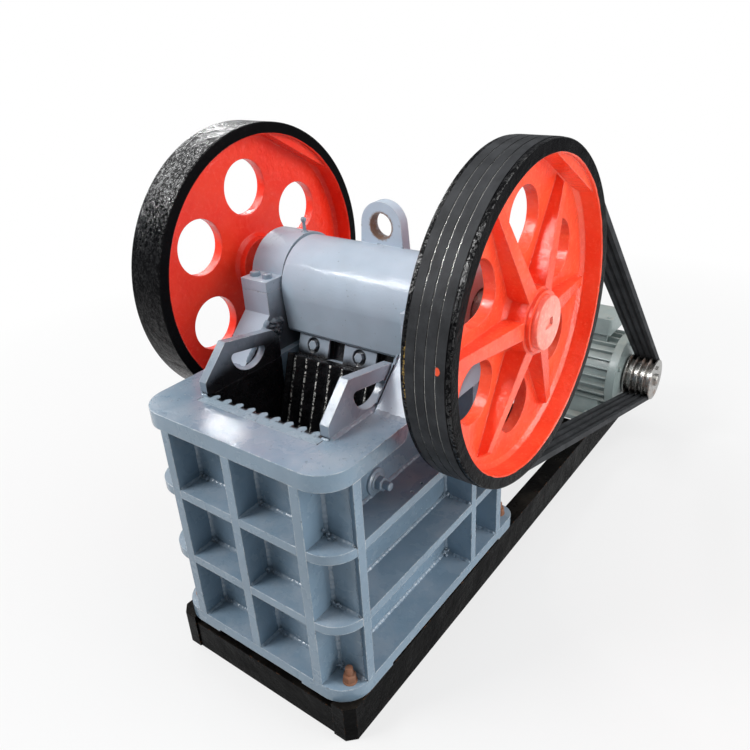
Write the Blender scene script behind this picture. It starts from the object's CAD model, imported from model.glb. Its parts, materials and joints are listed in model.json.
# %% [markdown]
# # A small jaw crusher, from bare solids to a painted machine
# The frame file brings in the machine as plain solids: a ribbed steel body, a swinging jaw, two
# flywheels on one shaft and a motor at the back. The script keeps those shapes and adds what a
# person sees first: paint, worn metal, weld beads, bolts and nipples. Every new piece is a surface
# worked out with numpy, so its formula can be read and changed.

# %% load the machine
import json
import math
import bpy
import numpy as np
from mathutils import Matrix, Vector


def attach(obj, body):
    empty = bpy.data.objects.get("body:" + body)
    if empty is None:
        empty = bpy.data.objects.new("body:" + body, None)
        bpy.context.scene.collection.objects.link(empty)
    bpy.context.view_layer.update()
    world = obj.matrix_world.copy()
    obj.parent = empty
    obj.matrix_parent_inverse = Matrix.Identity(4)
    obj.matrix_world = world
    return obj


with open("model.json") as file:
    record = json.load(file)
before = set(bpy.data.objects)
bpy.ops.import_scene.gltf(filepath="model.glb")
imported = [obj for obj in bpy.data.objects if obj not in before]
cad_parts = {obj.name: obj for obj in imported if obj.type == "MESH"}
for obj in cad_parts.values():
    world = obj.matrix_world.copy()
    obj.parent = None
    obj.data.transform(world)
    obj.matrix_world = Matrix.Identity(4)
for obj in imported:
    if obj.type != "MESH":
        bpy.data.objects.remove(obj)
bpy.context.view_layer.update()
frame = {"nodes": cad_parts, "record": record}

SHAFT = np.array(frame["record"]["behaviour"]["joints"][0]["pos_m"])

# %% [markdown]
# ## The camera
# The photograph was taken from the front right, from a little above the flywheels, with the
# camera turned a little. A camera could be aimed with a Track To constraint, but then the small roll
# would need a second step. Three direction vectors say the same thing at once: where the picture's
# right, its down and its depth point in the room.

# %% camera
picture_right = Vector((0.80339, 0.59316, -0.05229))
picture_down = Vector((0.23324, -0.39426, -0.88891))
picture_depth = Vector((-0.54788, 0.70194, -0.45509))
camera_place = Vector(SHAFT) + Vector((0.8877, -1.1455, 0.5268))

camera = bpy.data.objects.new("photo_camera", bpy.data.cameras.new("photo_camera"))
camera.data.sensor_width = 36
camera.data.lens = 34.09
camera.matrix_world = Matrix.Translation(camera_place) @ Matrix(
    (picture_right, -picture_down, -picture_depth)).transposed().to_4x4()
bpy.context.scene.collection.objects.link(camera)
bpy.context.scene.camera = camera
print("camera", [round(v, 3) for v in camera_place])

# %% [markdown]
# ## Light
# A bright day lights a machine from all round, and glossy paint mirrors the sky. Six large soft lamps
# do that, one overhead and the others round the machine, each as strong as the faces that look its
# way are bright. One even sky would be simpler, but would light all sides alike. The room itself is
# a soft grey to every ray but the camera's, which sees white.

# %% room
scene = bpy.context.scene
scene.view_settings.view_transform = "Standard"


def node(tree, kind, values=(), operation=None):
    """A new node; values are pairs of an input's name and its number or colour."""
    made = tree.nodes.new(kind)
    if operation:
        made.operation = operation
    for name, value in values:
        made.inputs[name].default_value = value
    return made


def seen_directly(tree):
    """1 where a ray comes straight from the camera or through glass, 0 for bounced light."""
    path = node(tree, "ShaderNodeLightPath")
    most = node(tree, "ShaderNodeMath", operation="MAXIMUM")
    tree.links.new(path.outputs["Is Camera Ray"], most.inputs[0])
    tree.links.new(path.outputs["Is Transmission Ray"], most.inputs[1])
    return most.outputs[0]


def end_with_mix(tree, output_kind, share, first, second):
    """Wires the first shader to the output node where share is 0, and the second where it is 1."""
    mix = node(tree, "ShaderNodeMixShader")
    for source, socket in zip((share, first.outputs[0], second.outputs[0]), mix.inputs):
        tree.links.new(source, socket)
    tree.links.new(mix.outputs[0], node(tree, output_kind).inputs[0])


scene.world = bpy.data.worlds.new("studio_room")
scene.world.use_nodes = True
room_tree = scene.world.node_tree
room_tree.nodes.clear()
soft_sky = node(room_tree, "ShaderNodeBackground", (("Color", (0.93, 0.96, 1.0, 1)), ("Strength", 0.24)))
white_sky = node(room_tree, "ShaderNodeBackground", (("Color", (1, 1, 1, 1)), ("Strength", 1)))
end_with_mix(room_tree, "ShaderNodeOutputWorld", seen_directly(room_tree), soft_sky, white_sky)


def soft_lamp(name, place, aim, width, height, watts, tint=(1, 1, 1)):
    """A glowing panel of width by height metres at place, turned to look at aim."""
    data = bpy.data.lights.new(name, "AREA")
    data.shape = "RECTANGLE"
    data.size = width
    data.size_y = height
    data.energy = watts
    data.color = tint
    lamp = bpy.data.objects.new(name, data)
    lamp.location = place
    lamp.rotation_euler = (Vector(aim) - Vector(place)).to_track_quat("-Z", "Y").to_euler()
    scene.collection.objects.link(lamp)
    return lamp


soft_lamp("overhead", (0.5, -0.5, 3.4), (0, -0.2, 0.5), 2.8, 2.8, 32, (1.0, 0.99, 0.97))
soft_lamp("back_panel", (-2.81, 1.75, 1.88), (0, -0.3, 0.8), 1.4, 0.9, 7)
soft_lamp("left_sky", (-2.98, -0.2, 2.85), (-0.2, -0.3, 0.9), 2.1, 0.9, 36)
soft_lamp("front_left", (-1.44, -2.50, 3.35), (0, -0.5, 0.5), 1.2, 1.2, 92)
soft_lamp("right_sky", (3.1, 0.9, 2.3), (0.3, -0.1, 0.8), 2.4, 2.2, 90)
soft_lamp("right_low", (2.8, -0.5, 0.75), (0.2, -0.3, 0.4), 1.0, 0.8, 24)

# %% [markdown]
# ## Glare
# Two small bright lamps do what windows do on glossy paint: a narrow strip makes the line along the
# jaw's barrel, a little panel the glare on the feed flange. Each hangs where the sight line goes on
# once the paint has mirrored it. A bigger lamp would only grey the whole surface.

# %% glare lamps
barrel_line = Vector((0.0, -0.38, 0.825))
strip = soft_lamp("barrel_strip", (-1.585, -1.709, 2.403), barrel_line, 0.58, 0.022, 8.0)
line_run = Vector((0.509, -0.131, 0.158))
strip_back = (strip.location - barrel_line).normalized()
strip_side = strip_back.cross(line_run).normalized()
strip_turn = Matrix((strip_side.cross(strip_back), strip_side, strip_back)).transposed()
strip.rotation_euler = strip_turn.to_euler()
glint = soft_lamp("flange_glint", (-1.80, 0.68, 1.92), (-0.025, -0.72, 0.631), 0.16, 0.11, 5.0)
print("glare lamps", strip.name, glint.name)

# %% [markdown]
# ## Floor
# The floor catches a soft shadow and fades into the white room. To the camera it is mostly its own
# light, and near the machine partly dull paint, which takes the shadow. To bounced light it is all
# dull. A plain white floor would have to be lit as bright as the room to vanish in it.

# %% floor
floor_size = 60.0
floor_lines = 9
fade_start, fade_end = 0.9, 2.6
glow_near = 0.72
steps = np.linspace(-0.5, 0.5, floor_lines) * floor_size
floor_x, floor_y = np.meshgrid(steps, steps, indexing="ij")
floor_corners = np.stack([floor_x, floor_y, np.full_like(floor_x, -0.0015)], axis=-1).reshape(-1, 3)
rows = np.arange(floor_lines - 1)[:, None] * floor_lines + np.arange(floor_lines - 1)
floor_faces = np.stack([rows, rows + floor_lines, rows + floor_lines + 1, rows + 1], axis=-1).reshape(-1, 4)
floor_mesh = bpy.data.meshes.new("floor")
floor_mesh.from_pydata(floor_corners.tolist(), [], floor_faces.tolist())
floor = bpy.data.objects.new("floor", floor_mesh)
scene.collection.objects.link(floor)
floor_paint = bpy.data.materials.new("floor_white")
floor_paint.use_nodes = True
floor_tree = floor_paint.node_tree
floor_tree.nodes.clear()
dull = node(floor_tree, "ShaderNodeBsdfDiffuse", [("Color", (0.6, 0.6, 0.6, 1))])
glow = node(floor_tree, "ShaderNodeEmission", [("Strength", 1)])
spot = node(floor_tree, "ShaderNodeVectorMath", operation="LENGTH")
fade = node(floor_tree, "ShaderNodeMapRange", (("From Min", fade_start), ("From Max", fade_end),
                                               ("To Min", glow_near), ("To Max", 1.0)))
share = node(floor_tree, "ShaderNodeMath", operation="MULTIPLY")
for source, target in ((node(floor_tree, "ShaderNodeTexCoord").outputs["Object"], spot.inputs[0]),
                       (spot.outputs["Value"], fade.inputs["Value"]),
                       (seen_directly(floor_tree), share.inputs[0]), (fade.outputs[0], share.inputs[1])):
    floor_tree.links.new(source, target)
end_with_mix(floor_tree, "ShaderNodeOutputMaterial", share.outputs[0], dull, glow)
floor_mesh.materials.append(floor_paint)
print("floor", floor_size, "m wide,", len(floor_faces), "faces")

# %% [markdown]
# ## A small kit for finishes
# Every finish below is one shader with a few layers on it: slow colour drift, grime, worn edges and
# a bumpy skin. They could be painted by hand, but noise on the object's own coordinates costs
# nothing, has no seams, and stays put when a wheel turns.

# %% finish kit


class Finish:
    """A named material, its node tree and one principled shader, with short calls for the layers."""

    def __init__(self, name, roughness=0.5, metallic=0.0, specular=0.5, coat=0.0, coat_roughness=0.1):
        self.material = bpy.data.materials.new(name)
        self.material.use_nodes = True
        self.tree = self.material.node_tree
        self.shader = self.tree.nodes["Principled BSDF"]
        for socket, value in (("Roughness", roughness), ("Metallic", metallic), ("Coat Weight", coat),
                              ("Specular IOR Level", specular), ("Coat Roughness", coat_roughness)):
            self.shader.inputs[socket].default_value = value
        self.place = self.add("ShaderNodeTexCoord").outputs["Object"]

    def add(self, kind, values=(), operation=None):
        return node(self.tree, kind, values, operation)

    def feed(self, value, socket):
        """A number or colour goes on the socket, another node's output is wired to it."""
        if isinstance(value, bpy.types.NodeSocket):
            self.tree.links.new(value, socket)
        else:
            socket.default_value = (*value, 1.0) if socket.type == "RGBA" else value

    def math(self, operation, first, second=0.0, third=0.0):
        """One arithmetic step on two or three values."""
        step = self.add("ShaderNodeMath", operation=operation)
        for value, socket in zip((first, second, third), step.inputs):
            self.feed(value, socket)
        return step.outputs[0]

    def plus(self, first, second):
        return self.math("ADD", first, second)

    def minus(self, first, second):
        return self.math("SUBTRACT", first, second)

    def times(self, first, second):
        return self.math("MULTIPLY", first, second)

    def vector(self, operation, first, second=None):
        """One step on vectors; a length or a dot product comes out as a number."""
        step = self.add("ShaderNodeVectorMath", operation=operation)
        self.feed(first, step.inputs[0])
        if second is not None:
            self.feed(second, step.inputs[1])
        return step.outputs["Value" if operation in ("LENGTH", "DOT_PRODUCT") else "Vector"]

    def stretch(self, value, low, high, to_low=0.0, to_high=1.0):
        """Maps low..high to to_low..to_high with a smooth ramp, clamped at both ends."""
        step = self.add("ShaderNodeMapRange", (("From Min", low), ("From Max", high),
                                               ("To Min", to_low), ("To Max", to_high)))
        step.interpolation_type = "SMOOTHSTEP"
        self.feed(value, step.inputs["Value"])
        return step.outputs[0]

    def noise(self, scale, detail=4.0, roughness=0.55, stretched=(1, 1, 1), distortion=0.0, place=None):
        """Cloudy noise from 0 to 1; a number under 1 in stretched draws it out along that axis."""
        place = place or self.place
        if stretched != (1, 1, 1):
            turn = self.add("ShaderNodeMapping", [("Scale", stretched)])
            self.feed(place, turn.inputs["Vector"])
            place = turn.outputs[0]
        cloud = self.add("ShaderNodeTexNoise", (("Scale", scale), ("Detail", detail),
                                                ("Roughness", roughness), ("Distortion", distortion)))
        self.feed(place, cloud.inputs["Vector"])
        return cloud.outputs["Fac"]

    def blotches(self, scale, detail, roughness, low, high, to_low=0.0, to_high=1.0):
        """Noise with its contrast raised: to_low where it is under low, to_high over high."""
        return self.stretch(self.noise(scale, detail, roughness), low, high, to_low, to_high)

    def wander(self, scale, detail, roughness, width):
        """Noise round zero, added to a distance so that a line looks drawn by hand."""
        return self.times(self.minus(self.noise(scale, detail, roughness), 0.5), width)

    def blend(self, share, first, second):
        """Colour first where share is 0, second where it is 1."""
        step = self.add("ShaderNodeMix")
        step.data_type = "RGBA"
        for value, socket in ((share, 0), (first, 6), (second, 7)):
            self.feed(value, step.inputs[socket])
        return step.outputs[2]

    def mottled(self, first, second, *cloud):
        """Two colours in blotches."""
        return self.blend(self.blotches(*cloud), first, second)

    def over(self, tint, *layers):
        """Lays colours over tint one after another; a layer is its share and its colour."""
        for share, colour in layers:
            tint = self.blend(share, tint, colour)
        return tint

    def split(self, vector):
        step = self.add("ShaderNodeSeparateXYZ")
        self.feed(vector, step.inputs[0])
        return step.outputs

    def join(self, x, y, z):
        step = self.add("ShaderNodeCombineXYZ")
        for value, socket in zip((x, y, z), step.inputs):
            self.feed(value, socket)
        return step.outputs[0]

    def rounded(self, radius, samples):
        """The normal of a twin whose corners are rounded by the radius."""
        step = self.add("ShaderNodeBevel", [("Radius", radius)])
        step.samples = samples
        return step.outputs[0]

    def true_normal(self):
        return self.add("ShaderNodeNewGeometry").outputs["Normal"]

    def worn_edge(self, radius, low=0.02, high=0.25):
        """1 on sharp corners: how far the normal of a rounded twin leans from the true one."""
        alike = self.vector("DOT_PRODUCT", self.rounded(radius, 4), self.true_normal())
        return self.stretch(self.minus(1.0, alike), low, high)

    def worn(self, radius, *cloud):
        """Sharp corners, but only in blotches."""
        return self.times(self.worn_edge(radius), self.blotches(*cloud))

    def facing_up(self):
        """How far the surface faces the sky, from -1 to 1."""
        return self.split(self.true_normal())[2]

    def settled(self, low, high, *cloud):
        """Dust in blotches on what faces up: none under low, all of it over high."""
        return self.times(self.stretch(self.facing_up(), low, high), self.blotches(*cloud))

    def from_shaft(self, centre=(0, 0, 0)):
        """Object coordinates counted from a centre given in millimetres from the shaft axis."""
        return self.vector("SUBTRACT", self.place, tuple(SHAFT + np.array(centre) / 1000))

    def patch(self, centre, half, ragged):
        """1 inside an ellipsoid given in millimetres from the shaft axis, with a ragged edge."""
        inside = self.vector("DIVIDE", self.from_shaft(centre), tuple(np.array(half) / 1000))
        far = self.vector("LENGTH", inside)
        return self.stretch(self.plus(far, self.wander(220, 4, 0.7, ragged * 4)), 1.1, 0.9)

    def skin(self, layers, edge=0.0):
        """Stacks bumps (height, depth in metres) over softly rounded edges, and wires the normal."""
        normal = self.rounded(edge, 6) if edge else None
        for height, depth in layers:
            bump = self.add("ShaderNodeBump", (("Distance", depth), ("Strength", 1.0)))
            self.feed(height, bump.inputs["Height"])
            if normal:
                self.feed(normal, bump.inputs["Normal"])
            normal = bump.outputs[0]
        self.feed(normal, self.shader.inputs["Normal"])
        if self.shader.inputs["Coat Weight"].default_value > 0:
            self.feed(normal, self.shader.inputs["Coat Normal"])

    def colour(self, value):
        self.feed(value, self.shader.inputs["Base Color"])

    def rough(self, value):
        self.feed(value, self.shader.inputs["Roughness"])

    def metal(self, value):
        self.feed(value, self.shader.inputs["Metallic"])


# %% [markdown]
# ## Blue-grey enamel
# The body was brushed with thick glossy enamel straight over rough cast and welded steel. Its colour
# drifts a little, dust sits on what faces up, brush waves show in its highlights, and corners are
# thin. The waves are a long soft bump; without them the paint looks like plastic.

# %% frame paint
pale_cloud = (0.36, 0.40, 0.44)
settled_dust = (0.47, 0.44, 0.44)
thin_paint = (0.62, 0.66, 0.69)
dark_chip = (0.06, 0.055, 0.05)
dark_speck = (0.10, 0.10, 0.10)
black_spray = (0.006, 0.006, 0.008)
rust_stain = (0.19, 0.11, 0.07)


def frame_enamel(name, base=(0.172, 0.250, 0.325), gloss=0.24, mist=None, waviness=0.45, coat=0.7,
                 stain=None, wrinkled=None):
    """The enamel. mist, stain and wrinkled are functions that take the finish.

    They give the shares of black overspray, of rust and of wrinkled paint."""
    finish = Finish(name, roughness=gloss, coat=coat, coat_roughness=0.05, specular=0.25)
    light, dark = (tuple(c * share for c in base) for share in (1.10, 0.90))
    dust = finish.settled(0.75, 0.97, 9, 6, 0.65, 0.38, 0.78, 0.02, 0.30)
    chips = finish.times(finish.worn_edge(0.006, 0.05, 0.2), finish.blotches(70, 6, 0.7, 0.60, 0.64))
    tint = finish.over(
        finish.mottled(dark, light, 4.5, 3, 0.6, 0.3, 0.7),
        (finish.blotches(26, 4, 0.6, 0.5, 0.8, 0, 0.16), pale_cloud),
        (dust, settled_dust),
        (finish.worn(0.0035, 38, 5, 0.7, 0.42, 0.62, 0.20, 1.0), thin_paint),
        (chips, dark_chip),
        (finish.blotches(150, 3, 0.5, 0.70, 0.74, 0, 0.5), dark_speck))
    if mist:
        tint = finish.blend(mist(finish), tint, black_spray)
    if stain:
        tint = finish.blend(stain(finish), tint, rust_stain)
    finish.colour(tint)
    rough = finish.blotches(14, 4, 0.6, 0.3, 0.7, gloss * 0.75, gloss * 1.35)
    finish.rough(finish.plus(rough, finish.times(dust, 0.35)))
    waves = finish.noise(16, 2, 0.45, distortion=0.6)
    bumps = [(waves, 0.0042 * waviness), (finish.noise(210, 4, 0.6), 0.0009 * waviness)]
    if wrinkled:
        bumps.append((finish.times(wrinkled(finish), finish.noise(150, 5, 0.7)), 0.00022))
    finish.skin(bumps, edge=0.0022)
    return finish.material


# %% [markdown]
# ## Black overspray, rust and a run of paint
# Black strayed from the teeth over the plates beside them: inside the cheeks, in the notches of the
# clamp bar and on the pedestals' inner faces. Masks could be painted, but a face is told by its
# distance from the machine's middle and the edge of the black by its height, so one ramp each does
# it, and a noise makes the edge ragged.

# %% masks and enamels
CHEEK_FACE, PEDESTAL_FACE = 0.148, 0.174     # metres from the machine's middle


def cheek_mist(finish):
    """Black on the inner face of a cheek plate, fading out upwards where the spray thinned."""
    x, y, z = finish.split(finish.from_shaft())
    ragged = finish.wander(30, 4, 0.6, 0.016)
    height = finish.plus(finish.plus(z, ragged), finish.times(finish.plus(y, 0.25), -0.16))
    inner = finish.stretch(finish.math("ABSOLUTE", x), CHEEK_FACE + 0.0010, CHEEK_FACE + 0.0004)
    return finish.times(finish.stretch(height, -0.058, -0.108), inner)


def clamp_mist(finish):
    """Black in the clamp bar's notches, which lie behind its leaning face, and along its lower edge."""
    _, y, z = finish.split(finish.from_shaft())
    lean, face_y, face_z = math.radians(18.4), -0.101, -0.147
    depth = finish.minus(finish.times(finish.minus(y, face_y), math.cos(lean)),
                         finish.times(finish.minus(z, face_z), math.sin(lean)))
    ragged = finish.wander(35, 4, 0.6, 0.02)
    lower = finish.stretch(finish.plus(z, ragged), -0.122, -0.146)
    return finish.math("MAXIMUM", lower, finish.stretch(depth, 0.002, 0.007))


def pedestal_mist(finish):
    """Thin black on the faces that the pedestals turn to the jaw."""
    x, _, z = finish.split(finish.from_shaft())
    inner = finish.stretch(finish.math("ABSOLUTE", x), PEDESTAL_FACE + 0.0012, PEDESTAL_FACE + 0.0004)
    ragged = finish.wander(30, 4, 0.6, 0.05)
    return finish.times(finish.stretch(finish.plus(z, ragged), 0.01, -0.10, 0.15, 0.85), inner)


def eye_rust(finish):
    """Rust in the bore of the lifting eye, where the hook rubs."""
    return finish.patch((18, 18, 130), (30, 60, 30), 0.10)


def flange_wrinkles(finish):
    """Where a run of paint was brushed out on top of the feed flange."""
    return finish.patch((-35, -428, -140), (80, 38, 12), 0.5)


body_paint = frame_enamel("body_enamel", wrinkled=flange_wrinkles)
jaw_paint = frame_enamel("jaw_enamel", base=(0.42, 0.51, 0.605), gloss=0.46, waviness=0.34, coat=0.50,
                         stain=eye_rust)
bearing_paint = frame_enamel("bearing_enamel", base=(0.39, 0.485, 0.58), gloss=0.34, mist=pedestal_mist,
                             coat=0.25)
cheek_paint = frame_enamel("cheek_enamel", base=(0.22, 0.27, 0.33), gloss=0.30, mist=cheek_mist)
clamp_paint = frame_enamel("clamp_enamel", base=(0.32, 0.38, 0.45), gloss=0.26, mist=clamp_mist)
print("enamels", body_paint.name, jaw_paint.name, bearing_paint.name, cheek_paint.name, clamp_paint.name)

# %% [markdown]
# ## Flywheels
# Each wheel is one casting painted twice: red inside, then black round the rim. The line between
# the two colours follows the rim's radius, so the colour is chosen by the distance from the shaft.
# A noise added to that distance makes the line look brushed by hand. On the belt wheel the lands
# between the grooves have no paint left: belts polish them.

# %% wheel paint
rim_inner = 0.299
rim_outer = 0.325
groove_pitch = 0.019
belt_middle = 0.344
bare_land = (0.62, 0.62, 0.60)
yellow_streak = (0.36, 0.23, 0.05)
scuffed_red = (0.95, 0.28, 0.20)
soot_dark, soot_light = (0.004, 0.004, 0.0045), (0.013, 0.013, 0.014)


def wheel_enamel(name, deep, bright, grooved=False, low_shine=0.6):
    """Red between deep and bright, black outside rim_inner, bare lands where the belts run.

    The black paint wrinkled on the upper tread; low_shine is the share of its flecks further down."""
    finish = Finish(name, roughness=0.25, coat=0.2, coat_roughness=0.06, specular=0.42)
    along, y, z = finish.split(finish.from_shaft())
    radius = finish.vector("LENGTH", finish.join(0.0, y, z))
    round_rim = finish.join(along, finish.times(finish.math("ARCTAN2", y, z), rim_outer), radius)
    edge_line = finish.plus(radius, finish.wander(22, 4, 0.6, 0.003))
    black = finish.stretch(edge_line, rim_inner + 0.0012, rim_inner + 0.0024)
    paler = tuple(min(1.0, c * 1.5 + 0.02) for c in bright)
    red = finish.over(
        finish.mottled(deep, bright, 7, 4, 0.6, 0.3, 0.7),
        (finish.blotches(110, 5, 0.75, 0.50, 0.72, 0, 0.55), paler),
        (finish.worn(0.004, 45, 5, 0.7, 0.5, 0.7, 0, 0.55), scuffed_red))
    tint = finish.blend(black, red, finish.mottled(soot_dark, soot_light, 60, 5, 0.7, 0.55, 0.8, 0, 0.5))
    streaks = finish.noise(300, 5, 0.78, stretched=(0.7, 0.55, 1.0), place=round_rim)
    patchy = finish.plus(streaks, finish.times(finish.noise(14, 3, 0.6), 0.25))
    tread = finish.stretch(radius, rim_outer - 0.002, rim_outer - 0.001)
    tread = finish.times(tread, finish.stretch(z, 0.0, 0.17, low_shine, 1.0))
    shine = finish.math("MULTIPLY_ADD", finish.stretch(patchy, 0.60, 0.68), finish.times(tread, 0.8), 0.028)
    finish.feed(finish.plus(finish.times(black, shine), finish.stretch(black, 0, 1, 0.30, 0.0)),
                finish.shader.inputs["Specular IOR Level"])
    finish.feed(finish.stretch(black, 0, 1, 0.6, 0.0), finish.shader.inputs["Coat Weight"])
    if grooved:
        step = finish.math("DIVIDE", finish.minus(along, belt_middle), groove_pitch)
        beside = finish.math("FRACT", finish.plus(step, 20.0))
        nearest = finish.math("MINIMUM", beside, finish.minus(1.0, beside))
        land = finish.stretch(nearest, 0.16, 0.10)
        between = finish.stretch(finish.math("ABSOLUTE", finish.minus(along, belt_middle)), 0.0335, 0.0325)
        outside = finish.stretch(radius, rim_outer - 0.004, rim_outer - 0.002)
        polished = finish.times(finish.times(land, between), outside)
        polished = finish.times(polished, finish.blotches(40, 4, 0.6, 0.25, 0.6, 0.35, 1.0))
        yellow = finish.patch((308, -325, 12), (5, 30, 52), 0.6)
        yellow = finish.times(yellow, finish.stretch(streaks, 0.45, 0.55))
        tint = finish.over(tint, (polished, bare_land), (yellow, yellow_streak))
        finish.metal(polished)
    finish.colour(tint)
    finish.rough(finish.blend(black, (0.27, 0.27, 0.27), (0.13, 0.13, 0.13)))
    finish.skin([(finish.noise(20, 2, 0.5, distortion=0.8), 0.0034), (finish.noise(75, 4, 0.65), 0.0012),
                 (finish.noise(95, 5, 0.7), 0.0010), (finish.times(black, streaks), 0.0006)], edge=0.0035)
    return finish.material


belt_wheel_paint = wheel_enamel("belt_wheel_enamel", (0.88, 0.062, 0.022), (0.95, 0.105, 0.040),
                                grooved=True)
end_plate_paint = wheel_enamel("end_plate_enamel", (0.88, 0.16, 0.10), (0.95, 0.34, 0.27))
plain_wheel_paint = wheel_enamel("plain_wheel_enamel", (0.92, 0.030, 0.011), (0.97, 0.052, 0.020),
                                 low_shine=0.06)
print("wheel paints", belt_wheel_paint.name, end_plate_paint.name, plain_wheel_paint.name)

# %% [markdown]
# ## Black skid and manganese teeth
# The skid is sprayed black and dusty on top. The teeth are cast, painted black, and bright dots lie
# along their ridges, where stone rubs. The ridges come at an even pitch, so the remainder of the
# place across, divided by that pitch, finds them. An edge mask would also find the outer edges.

# %% black finishes
skid = Finish("skid_black", roughness=0.25, specular=0.04)
dust = skid.settled(0.7, 0.98, 7, 6, 0.7, 0.4, 0.75, 0.02, 0.25)
skid.colour(skid.over(
    skid.mottled((0.0010, 0.0010, 0.0012), (0.0030, 0.0030, 0.0030), 10, 5, 0.6, 0.35, 0.75),
    (dust, (0.060, 0.050, 0.040)),
    (skid.worn(0.003, 55, 6, 0.7, 0.52, 0.62), (0.16, 0.07, 0.03))))
skid.rough(skid.plus(skid.blotches(18, 4, 0.6, 0.3, 0.7, 0.15, 0.38), skid.times(dust, 0.35)))
skid.skin([(skid.noise(14, 3, 0.5), 0.004), (skid.noise(160, 4, 0.6), 0.0006)], edge=0.0018)

jaw_width, ridge_count = 0.296, 9
tooth_pitch = jaw_width / ridge_count


def tooth_iron(name="tooth_iron", lip=False, ridge_shift=None):
    """Black glossy casting; with lip, which needs ridge_shift, its top end carries the body's paint.

    With ridge_shift, bright dots lie on the ridges, which come at (whole number + shift) * pitch."""
    finish = Finish(name, roughness=0.25, specular=0.4)
    tint = finish.mottled((0.003, 0.003, 0.004), (0.010, 0.010, 0.012), 30, 5, 0.65, 0.35, 0.75)
    if ridge_shift is not None:
        x, y, _ = finish.split(finish.from_shaft())
        step = finish.math("FRACT", finish.plus(finish.math("DIVIDE", x, tooth_pitch), 20.5 - ridge_shift))
        aside = finish.times(finish.math("ABSOLUTE", finish.minus(step, 0.5)), tooth_pitch)
        wander = finish.wander(60, 3, 0.6, 0.006)
        crest = finish.stretch(finish.plus(aside, wander), 0.0030, 0.0016)
        dots = finish.blotches(190, 5, 0.75, 0.49, 0.56)
        dots = finish.times(dots, finish.stretch(finish.facing_up(), 0.6, 0.4))
        tint = finish.blend(finish.times(crest, dots), tint, (0.66, 0.66, 0.63))
    if lip:
        up = finish.stretch(finish.facing_up(), 0.80, 0.95)
        ragged = finish.blotches(60, 5, 0.7, 0.30, 0.42)
        inward = finish.plus(finish.plus(y, 0.361), wander)
        off_ridge = finish.stretch(finish.plus(aside, wander), 0.006, 0.010)
        valley = finish.times(finish.stretch(inward, -0.006, 0.0), off_ridge)
        share = finish.times(up, finish.times(ragged, finish.minus(1.0, valley)))
        tint = finish.blend(share, tint, (0.25, 0.32, 0.38))
    finish.colour(tint)
    finish.rough(finish.blotches(40, 4, 0.6, 0.3, 0.7, 0.16, 0.34))
    finish.skin([(finish.noise(48, 4, 0.6), 0.003), (finish.noise(220, 5, 0.7), 0.0009)], edge=0.003)
    return finish.material


skid_paint = skid.material
plain_iron = tooth_iron()
teeth = tooth_iron("ridged_tooth_iron", ridge_shift=0.5)
lipped_teeth = tooth_iron("lipped_tooth_iron", lip=True, ridge_shift=0.0)
print("black finishes", skid_paint.name, plain_iron.name, teeth.name, lipped_teeth.name)

# %% [markdown]
# ## Rubber, bare steel and the motor's paint
# The belts are dull rubber with one dab of orange paint, the motor is dusty. Steel is bright where it
# was turned and brown where it rusts, and one patchy noise decides both its colour and how much of a
# metal it is. A plain grey for each would do at a distance, but not in a close view.

# %% rubber, steel and motor
belt = Finish("belt_rubber", roughness=0.6, specular=0.2)
belt.colour(belt.blend(
    belt.patch((367, -324, 31), (5, 6, 7), 0.1),
    belt.mottled((0.018, 0.019, 0.021), (0.042, 0.044, 0.048), 16, 5, 0.65, 0.3, 0.75), (0.85, 0.10, 0.04)))
belt.skin([(belt.noise(330, 3, 0.6), 0.0004)])

motor = Finish("motor_enamel", roughness=0.38, coat=0.15)
motor.colour(motor.over(
    motor.mottled((0.22, 0.27, 0.265), (0.29, 0.34, 0.335), 9, 4, 0.6, 0.3, 0.7),
    (motor.settled(0.55, 0.95, 12, 6, 0.7, 0.4, 0.75, 0.1, 0.7), (0.36, 0.34, 0.30)),
    (motor.worn(0.002, 60, 5, 0.7, 0.55, 0.65, 0, 0.8), (0.30, 0.31, 0.31))))
motor.rough(motor.blotches(20, 4, 0.6, 0.3, 0.7, 0.28, 0.5))
motor.skin([(motor.noise(120, 4, 0.6), 0.0007)], edge=0.0015)


def bare_steel(name="bare_steel", base=(0.50, 0.49, 0.47), rust=0.35, rust_tint=(0.17, 0.075, 0.035)):
    finish = Finish(name, roughness=0.3, metallic=1.0)
    stain = finish.blotches(24, 6, 0.7, 0.62 - rust * 0.25, 0.80 - rust * 0.15)
    tint = finish.mottled(tuple(c * 0.8 for c in base), base, 60, 3, 0.5, 0.3, 0.7)
    finish.colour(finish.blend(stain, tint, rust_tint))
    finish.metal(finish.stretch(stain, 0, 1, 1, 0.15))
    finish.rough(finish.stretch(stain, 0, 1, 0.27, 0.75))
    turned = finish.noise(90, 2, 0.5, stretched=(9, 1, 1))
    finish.skin([(turned, 0.0004), (finish.noise(150, 5, 0.7), 0.0005)], edge=0.0012)
    return finish.material


rubber, motor_paint = belt.material, motor.material
steel = bare_steel()
pulley_iron = bare_steel("pulley_iron", (0.60, 0.59, 0.57), 0.6)
rusty_iron = bare_steel("rusty_iron", (0.30, 0.20, 0.15), 1.5, (0.25, 0.105, 0.055))
print("other finishes", rubber.name, motor_paint.name, steel.name, pulley_iron.name, rusty_iron.name)

# %% [markdown]
# ## A finish for each solid
# The solids come without looks. A table gives each its paint, and the many welded plates that aren't
# in it get the body's enamel, as all of them were brushed together. Separate lists would be easy to
# get wrong for skid and belts, so these are told by the start of their names.

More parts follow.
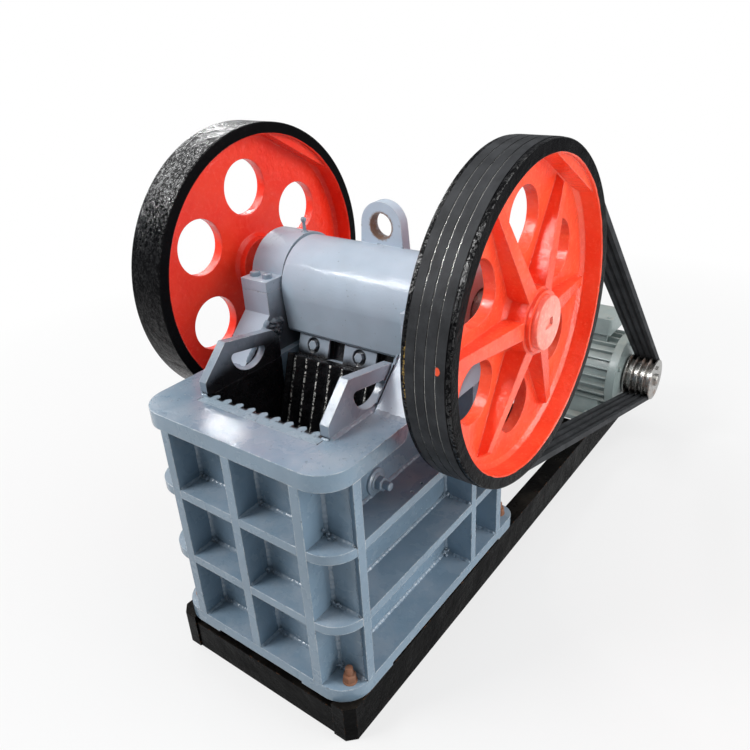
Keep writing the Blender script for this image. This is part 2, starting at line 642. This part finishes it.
# %% give each solid its finish
painted_with = (
    (jaw_paint, "swing_jaw"),
    (clamp_paint, "jaw_clamp"),
    (cheek_paint, "cheek_plate_left cheek_plate_right"),
    (bearing_paint, "pedestal_left pedestal_right bearing_cap_left bearing_cap_right"),
    (plain_wheel_paint, "flywheel_left shaft_end_plate_left"),
    (belt_wheel_paint, "flywheel_right"),
    (end_plate_paint, "shaft_end_plate_right"),
    (lipped_teeth, "fixed_jaw_plate"),
    (teeth, "moving_jaw_plate"),
    (plain_iron, "side_liner_left side_liner_right toggle_plate toggle_block"),
    (steel, "eccentric_shaft motor_shaft bearing_left bearing_right"),
    (pulley_iron, "motor_pulley"),
    (skid_paint, "motor_slide_rails"),
    (motor_paint, "motor_housing motor_fan_cover terminal_box"),
)
finish_of = {name: paint for paint, names in painted_with for name in names.split()}
counts = {}
for name, solid in frame["nodes"].items():
    paint = finish_of.get(name, body_paint)
    if name.startswith("skid"):
        paint = skid_paint
    if name.startswith("drive_belt"):
        paint = rubber
    solid.data.materials.clear()
    solid.data.materials.append(paint)
    counts[paint.name] = counts.get(paint.name, 0) + 1
print("finishes", counts)

# %% [markdown]
# ## A small kit for surfaces
# There are hundreds of weld beads and bolts. Modelling each by hand would take days, and a stamped
# copy would look stamped. So each kind is one formula over a grid of two parameters, with its own
# random wobble, and numpy works out all points of a grid at once. The grids become one mesh a kind.

# %% surface kit


def unit(direction):
    direction = np.asarray(direction, float)
    return direction / np.linalg.norm(direction)


def square_to(axis):
    """Two unit vectors square to the axis and to each other."""
    axis = unit(axis)
    helper = np.array([0.0, 0.0, 1.0]) if abs(axis[2]) < 0.9 else np.array([1.0, 0.0, 0.0])
    side = unit(np.cross(helper, axis))
    return side, np.cross(axis, side)


def circle(axis, count):
    """Angles round the axis, and for each the unit vector that points that way."""
    side, other = square_to(axis)
    v = np.linspace(0, 2 * np.pi, count, endpoint=False)
    return v, np.cos(v)[:, None] * side + np.sin(v)[:, None] * other


class Gathering:
    """Grids of points that end up as one mesh: rows run along u, columns along v."""

    def __init__(self):
        self.points, self.faces, self.count = [], [], 0

    def add(self, grid, wrap=False):
        rows, columns = grid.shape[:2]
        number = np.arange(rows * columns).reshape(rows, columns) + self.count
        if wrap:
            number = np.concatenate([number, number[:, :1]], axis=1)
        quads = np.stack([number[:-1, :-1], number[:-1, 1:], number[1:, 1:], number[1:, :-1]], axis=-1)
        self.points.append(grid.reshape(-1, 3))
        self.faces.append(quads.reshape(-1, 4))
        self.count += rows * columns

    def build(self, name, paint, body, slot):
        """Makes one mesh of all grids, which rides the body."""
        points = np.concatenate(self.points)
        faces = np.concatenate(self.faces)
        mesh = bpy.data.meshes.new(name)
        mesh.vertices.add(len(points))
        mesh.vertices.foreach_set("co", points.ravel())
        mesh.loops.add(faces.size)
        mesh.loops.foreach_set("vertex_index", faces.ravel())
        mesh.polygons.add(len(faces))
        mesh.polygons.foreach_set("loop_start", np.arange(len(faces)) * 4)
        mesh.update(calc_edges=True)
        mesh.validate()
        mesh.shade_smooth()
        mesh.materials.append(paint)
        piece = bpy.data.objects.new(name, mesh)
        scene.collection.objects.link(piece)
        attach(piece, body)
        print(name, len(points), "points", len(faces) * 2, "triangles")


def mm(*place):
    """A place given in millimetres from the shaft axis, in the room's metres."""
    return SHAFT + np.array(place, float) / 1000


chance = np.random.default_rng(7)

# %% [markdown]
# ## Weld beads
# The body is welded from plate, and every inner corner of its cells carries a fillet weld laid by
# hand: a convex bead with ripples. A swept circle would give a pipe, so the bead's radius is a
# function of the place along the seam and of the angle between the plates.

# %% weld bead


def bead(start, end, wall_a, wall_b, size, lumpy=0.22):
    """A fillet weld from start to end, between two plates that run along wall_a and wall_b.

    Across the bead the angle goes from plate to plate, and the radius is between that of a flat
    weld face and a full quarter round. Along the bead it is multiplied by ripples bent into
    crescents, by a slow random wobble, and by an envelope that closes both ends."""
    ripple_length, ripple_height, rows_each = 0.0045, 0.11, 3
    wobble_length = 0.05
    round_share, bend, sunk = 0.45, 0.45, 0.12
    length = np.linalg.norm(end - start)
    rows = max(8, int(length / ripple_length * rows_each))
    u = np.linspace(0, 1, rows)[:, None]
    angle = np.linspace(-sunk, np.pi / 2 + sunk, 6)[None, :]
    between = np.clip(angle, 0, np.pi / 2)
    flat = 1 / (np.cos(between) + np.sin(between))
    along = u * length
    crescent = along / ripple_length - bend * np.sin(2 * angle)
    ripple = 1 + ripple_height * np.abs(np.sin(np.pi * crescent))
    wobble = np.ones_like(u)
    for waves in (0.7, 1.9, 4.3):
        wobble = wobble + lumpy / 3 * np.sin(2 * np.pi * (waves * along / wobble_length + chance.random()))
    ends = np.clip((1 - np.abs(2 * u - 1)) * length / (1.4 * size), 0.02, 1) ** 0.5
    radius = size * (flat * (1 - round_share) + round_share) * ripple * wobble * ends
    path = start + (end - start) * u
    return (path[:, None, :] + radius[..., None] * (np.cos(angle)[..., None] * unit(wall_a)
                                                    + np.sin(angle)[..., None] * unit(wall_b)))


def seam(gathering, start, end, wall_a, wall_b, size, lumpy=0.22):
    """A bead between two places, all in millimetres from the shaft axis."""
    gathering.add(bead(mm(*start), mm(*end), wall_a, wall_b, size / 1000, lumpy))


def cell_beads(gathering, back, low, high, out_axis, reach):
    """Eight beads of a cell: four round its back plate and four from there outwards.

    back is the back plate's place along out_axis, low and high are the cell's corners on the other
    two axes, and reach is the signed depth of the cell, all in millimetres. A cell less than a
    millimetre deep gets only the first four beads."""
    size = 5.5
    across = [axis for axis in range(3) if axis != out_axis]
    outward = np.zeros(3)
    outward[out_axis] = np.sign(reach)

    def corner(first, second, depth=0.0):
        place = np.zeros(3)
        place[out_axis] = back + depth
        place[across[0]] = (low[0], high[0])[first]
        place[across[1]] = (low[1], high[1])[second]
        return place

    def into(which, end):
        """From the wall at that end of an axis towards the cell's middle."""
        return np.eye(3)[across[which]] * (1 - 2 * end)

    for second in (0, 1):
        seam(gathering, corner(0, second), corner(1, second), outward, into(1, second), size)
    for first in (0, 1):
        seam(gathering, corner(first, 0), corner(first, 1), outward, into(0, first), size)
    if abs(reach) <= 1:
        return
    for first, second in ((0, 0), (0, 1), (1, 0), (1, 1)):
        seam(gathering, corner(first, second), corner(first, second, reach), into(0, first),
             into(1, second), size * 0.85, lumpy=0.3)


def dome(centre, normal, radius, height, rings, sides):
    """A flattened drop: radius * sin across, height * cos up, with a random wave round its foot."""
    v, outwards = circle(normal, sides)
    u = np.linspace(0.02, np.pi / 2 + 0.15, rings)[:, None]
    wave = 1 + 0.18 * np.sin(2 * v + 6.28 * chance.random()) * np.sin(u)
    return (centre + (radius * np.sin(u) * wave)[..., None] * outwards
            + (height * np.cos(u))[..., None] * unit(normal))


def scatter(places, normal, smallest, largest, squash=0.7, rings=3, sides=6):
    """A drop at each place; places is a generator, so each is drawn just before its drop."""
    for place in places:
        size = chance.uniform(smallest, largest)
        drops.add(dome(mm(*place), normal, size, size * squash, rings, sides))


# %% [markdown]
# ## Welds in the cells
# The ribs part the front into two columns and each side into two, with three rows of cells one above
# the other, and a narrow column stands outside each side wall. Drops thrown off the arc freeze in
# the lower corners. Loops are shorter than a list of 168 seams, and stay right when a rib moves.

# %% welds in the cells
# places in millimetres from the shaft axis
FRONT_WALL, REAR_WALL, SIDE_WALL = -407, 145, 179
BASE_TOP, FLANGE_TOP = -649, -140
FRONT_DEPTH, SIDE_DEPTH, RIB_EDGE = 57, 69, 246
cell_rows = ((BASE_TOP, -499), (-479, -330), (-310, -175))
front_columns = ((-157, -11), (11, 157))
side_columns = ((-385, 0), (20, 123))

front_welds = Gathering()
side_welds = {1: Gathering(), -1: Gathering()}
drops = Gathering()
for z_low, z_high in cell_rows:
    for x_low, x_high in front_columns:
        cell_beads(front_welds, FRONT_WALL, (x_low, z_low), (x_high, z_high), 1, -FRONT_DEPTH)
    for side in (1, -1):
        x_low, x_high = sorted((side * SIDE_WALL, side * RIB_EDGE))
        cell_beads(front_welds, FRONT_WALL, (x_low, z_low), (x_high, z_high), 1, -0.5)
        for y_low, y_high in side_columns:
            cell_beads(side_welds[side], side * SIDE_WALL, (y_low, z_low), (y_high, z_high), 0,
                       side * SIDE_DEPTH)


def in_front_corner(x, z):
    spread = chance.normal(0, 6, 3)
    return x + spread[0], FRONT_WALL - 2 - abs(spread[1]) * 0.8, z + 3 + abs(spread[2])


def in_side_corner(side, y, z):
    spread = chance.normal(0, 6, 3)
    return side * (SIDE_WALL + 2 + abs(spread[0]) * 0.8), y + spread[1], z + 3 + abs(spread[2])


# each corner's place, and the step from it into the open
front_corners = ((-179, -8), (-157, 8), (-11, -8), (11, 8), (157, -8), (179, 8))
side_corners = ((-385, 8), (0, -8), (20, 8), (123, -8))
for x, aside in front_corners:
    for z_low, _ in cell_rows:
        scatter((in_front_corner(x + aside, z_low) for _ in range(7)), (0, -1, 0.8),
                0.002, 0.0055, squash=0.8, rings=4, sides=8)
for side in (1, -1):
    for y, aside in side_corners:
        for z_low, _ in cell_rows:
            scatter((in_side_corner(side, y + aside, z_low) for _ in range(6)), (side, 0, 0.8),
                    0.002, 0.005, squash=0.8, rings=4, sides=8)
print("weld points", front_welds.count, side_welds[1].count, side_welds[-1].count, "in drops", drops.count)

# %% [markdown]
# ## Beads on top, and spatter
# The cheek plates stand on the flange in one long bead each, thick ones join the bearing pedestals to
# the walls, and on the pedestals' inner faces short ones lie in stacks. The rear seams are a guess, as
# the photograph doesn't show them. Spatter is small frozen drops. On the walls most lie within a
# hand's width of a seam, so their distance from it is drawn from a normal distribution.

# %% beads on top


def on_flange(side):
    return side * chance.uniform(170, RIB_EDGE), chance.uniform(-460, -250), FLANGE_TOP


def on_rear_wall(side):
    return side * abs(chance.normal(157, 16)), REAR_WALL, chance.uniform(-640, -150)


def on_wall(low, high):
    """A place along a wall from low to high, and a height near the foot of one of its three cells."""
    foot = cell_rows[chance.integers(0, 3)][0]
    return chance.uniform(low, high), foot + abs(chance.normal(0, 40)) % 140


def on_side_wall(side):
    y, z = on_wall(-380, 120)
    return side * SIDE_WALL, y, z


def on_front_wall():
    x, z = on_wall(-150, 150)
    return x, FRONT_WALL, z


UP, DOWN, FRONT, REAR = (0, 0, 1), (0, 0, -1), (0, -1, 0), (0, 1, 0)
repairs = Gathering()
for side in (1, -1):
    out, inn = (side, 0, 0), (-side, 0, 0)
    cheek, pedestal, wall = side * 168, side * 174, side_welds[side]
    # round the cheek plate and under the flange
    seam(front_welds, (cheek, -362, FLANGE_TOP), (cheek, -152, FLANGE_TOP), out, UP, 6)
    seam(front_welds, (side * 149, -364, FLANGE_TOP), (cheek, -364, FLANGE_TOP), FRONT, UP, 3.5)
    seam(front_welds, (side * SIDE_WALL, -204, -177), (side * 250, -204, -175), FRONT, DOWN, 6)
    # the pedestal's foot and its sloping edge
    seam(wall, (side * 249.5, -238, FLANGE_TOP), (pedestal, -238, FLANGE_TOP), FRONT, (0, 0.7, 0.72), 7)
    seam(wall, (pedestal, -228, -130), (pedestal, -152, -58), inn, (0, -0.72, 0.7), 6)
    # the rear wall
    foot, top, behind = (side * 157, REAR_WALL, -645), (side * 157, REAR_WALL, -142), REAR_WALL + 0.5
    seam(wall, foot, top, (1, 0, 0), REAR, 4.5, lumpy=0.3)
    seam(wall, foot, top, (-1, 0, 0), REAR, 4.5, lumpy=0.3)
    seam(wall, (pedestal, behind, FLANGE_TOP), (side * 247, behind, FLANGE_TOP), REAR, UP, 4.5)
    seam(wall, (side * 2, REAR_WALL, BASE_TOP), (side * 200, REAR_WALL, BASE_TOP), REAR, UP, 7)
    # the stack of short beads on the pedestal's inner face
    for i in range(6):
        height, start = -66 - 9 * i, -148 - 3.5 * i
        for turn in (1, -1):
            seam(repairs, (pedestal, start, height), (pedestal, start + 40, height - 6 + 3 * (i % 2)),
                 inn, (0, 0, turn), 7.5, lumpy=0.5)
    scatter((on_flange(side) for _ in range(60)), UP, 0.0006, 0.0019)
    scatter((on_rear_wall(side) for _ in range(70)), REAR, 0.0007, 0.0022)
    scatter((on_side_wall(side) for _ in range(90)), out, 0.0007, 0.0020)
scatter((on_front_wall() for _ in range(160)), FRONT, 0.0007, 0.0020)

weld_paint = frame_enamel("weld_enamel", base=(0.22, 0.29, 0.36), gloss=0.15)
front_welds.build("front_weld_beads", weld_paint, "frame", "frame_blue")
side_welds[1].build("right_weld_beads", weld_paint, "frame", "frame_blue")
side_welds[-1].build("left_weld_beads", weld_paint, "frame", "frame_blue")
drops.build("weld_drops_and_spatter", weld_paint, "frame", "frame_blue")
repairs.build("pedestal_weld_stacks", bearing_paint, "frame", "frame_blue")

# %% [markdown]
# ## Bolts, nuts and nipples
# A hexagon head is a round bar with six flats, chamfered on a lathe. In numbers that is one grid: the
# radius round the axis follows the flats, and near the top it is cut by a cone, whose circle leaves
# the curved lines on the flats that every real nut has.

# %% bolt kit


def turned(gathering, origin, axis, profile, sides=24):
    """A lathe part: each (distance along, radius) pair in millimetres becomes a ring round the axis."""
    along, radius = (np.array(column, float)[:, None, None] / 1000 for column in zip(*profile))
    gathering.add(origin + along * unit(axis) + radius * circle(axis, sides)[1], wrap=True)


def hexagon(gathering, origin, axis, flats, height, turn=0.0):
    """A hexagon prism with turned corners: radius = flats / 2 / cos(angle from the flat's middle).

    The top rings shrink towards the circle that the chamfer cone leaves there."""
    v, outwards = circle(axis, 48)
    hex_radius = flats / 2 / np.cos((v + turn) % (np.pi / 3) - np.pi / 6)
    uncut = 9e9
    level = np.array([0, height * 0.82, height * 0.9, height, height])[:, None]
    cone = np.array([uncut, uncut, flats * 0.56, flats * 0.48, 0.1])[:, None]
    along = level / 1000
    radius = np.minimum(hex_radius, cone) / 1000
    gathering.add(origin + along[..., None] * unit(axis) + radius[..., None] * outwards, wrap=True)


def washer(gathering, origin, axis, radius, thickness):
    profile = ((0, radius), (thickness * 0.8, radius), (thickness, radius - 0.6), (thickness, 1))
    turned(gathering, origin, axis, profile, 32)


def threaded_end(gathering, origin, axis, radius, length):
    """A stud's end: the radius rises and falls once for each turn of the thread, then a chamfer."""
    pitch = 2.5
    count = int(length / pitch) * 4
    along = np.linspace(0, length - 1.5, count)
    profile = [(a, radius - 0.7 * abs((a / pitch) % 1 - 0.5)) for a in along]
    turned(gathering, origin, axis, profile + [(length, radius - 1.6), (length, 0.1)], 20)


def nut_on_stud(gathering, origin, axis, flats, washer_radius, nut, above, turn):
    """Washer, hexagon of height nut, and the end of the stud, which stands out of it by above."""
    axis = unit(axis)
    washer(gathering, origin, axis, washer_radius, 3)
    hexagon(gathering, origin + axis * 0.003, axis, flats, nut, turn)
    threaded_end(gathering, origin + axis * (nut + 3) / 1000, axis, flats * 0.33, above)


# %% [markdown]
# ## Where the bolts sit
# Four rusty studs hold the base, four painted heads each bearing cap and two nuts on wide washers
# each side liner; a grease nipple stands on each cap. Nuts at equal angles would look copied, so
# each is turned by a random one.

# %% place the bolts
rusty = Gathering()
for side in (1, -1):
    for y, stud in ((-425, 18), (200, 15)):
        nut_on_stud(rusty, mm(side * 218, y, BASE_TOP), UP, 24, 15, 16, stud, chance.uniform(0, 1))
rusty.build("foot_bolts", rusty_iron, "frame", "frame_blue")

nipple = ((-3, 8), (2, 8), (3, 5), (5, 4.2), (22, 3.8), (23.5, 4.6), (26, 6.2), (30, 6.4), (33, 5.0),
          (34.5, 0.1))
painted = Gathering()
for side in (1, -1):
    for x in (193, 229):
        for y in (-120, 120):
            hexagon(painted, mm(side * x, y, 25), UP, 20, 10, chance.uniform(0, 1))
    out, thick = (side, 0, 0), 5
    for y in (-257, -70):
        washer(painted, mm(side * SIDE_WALL, y, -285), out, 28, thick)
        place = mm(side * (SIDE_WALL + thick), y, -285)
        nut_on_stud(painted, place, out, 27, 19, 14, 16, chance.uniform(0, 1))
    turned(painted, mm(side * 184, 3, 96), UP, nipple, 20)
painted.build("cap_bolts_and_nipples", weld_paint, "frame", "frame_blue")

# %% [markdown]
# ## Small gear on the motor
# A foot motor is told by its lifting eye, the cable gland on its terminal box and the screws round
# its end bell. The eye is a ring with a thick root: one circle swept round another. Bought parts like
# these are cast or turned, so each comes from one closed formula.

# %% motor gear


def ring(gathering, centre, axis, radius, wire):
    """A torus: the point runs round a circle of the wire's size while that runs round the ring."""
    side, other = square_to(axis)
    u = np.linspace(0, 2 * np.pi, 29)[:, None]
    v = np.linspace(0, 2 * np.pi, 12, endpoint=False)[None, :]
    out = np.cos(u)[..., None] * side + np.sin(u)[..., None] * other
    reach = (radius + wire * np.cos(v))[..., None] / 1000
    rise = (wire * np.sin(v))[..., None] / 1000
    gathering.add(centre + reach * out + rise * unit(axis), wrap=True)


MOTOR_Y, MOTOR_Z = 901, -529


def on_motor(x, y, z):
    """A place in millimetres: x from the machine's middle, y and z from the motor's axis."""
    return mm(x, MOTOR_Y + y, MOTOR_Z + z)


ALONG = (1, 0, 0)
eye_foot = ((0, 13), (17, 13), (19, 10), (24, 8), (26, 8))
gland = ((0, 15), (5, 15), (6, 12), (14, 12), (15, 14), (24, 14), (27, 10), (27, 0.1))
shaft_centre = ((-0.5, 15), (0, 15), (1.2, 13.5), (1.2, 4), (-3, 2.5), (-4, 0.1))
bell_bolts, bell_circle = 6, 104

gear = Gathering()
turned(gear, on_motor(95, 0, 112), UP, eye_foot, 20)
ring(gear, on_motor(95, 0, 151), REAR, 16, 5)
turned(gear, on_motor(190, 55, 162), REAR, gland, 24)
for x in (143, 237):
    for y in (-42, 42):
        hexagon(gear, on_motor(x, y, 190), UP, 10, 5, chance.uniform(0, 1))
for i in range(bell_bolts):
    turn = math.radians(30 + 60 * i)
    place = on_motor(297, bell_circle * math.cos(turn), bell_circle * math.sin(turn))
    hexagon(gear, place, ALONG, 13, 7, i)
for y in (-123, 123):
    for x in (43, 221):
        nut_on_stud(gear, on_motor(x, y, -118), UP, 19, 13, 9, 7, chance.uniform(0, 1))
gear.build("motor_gear", motor_paint, "frame", "motor_grey")

pulley_gear = Gathering()
hexagon(pulley_gear, on_motor(385, 0, 40), ALONG, 10, 5)
turned(pulley_gear, on_motor(392, 0, 0), ALONG, shaft_centre, 24)
pulley_gear.build("pulley_gear", steel, "motor_rotor", "bare_steel")
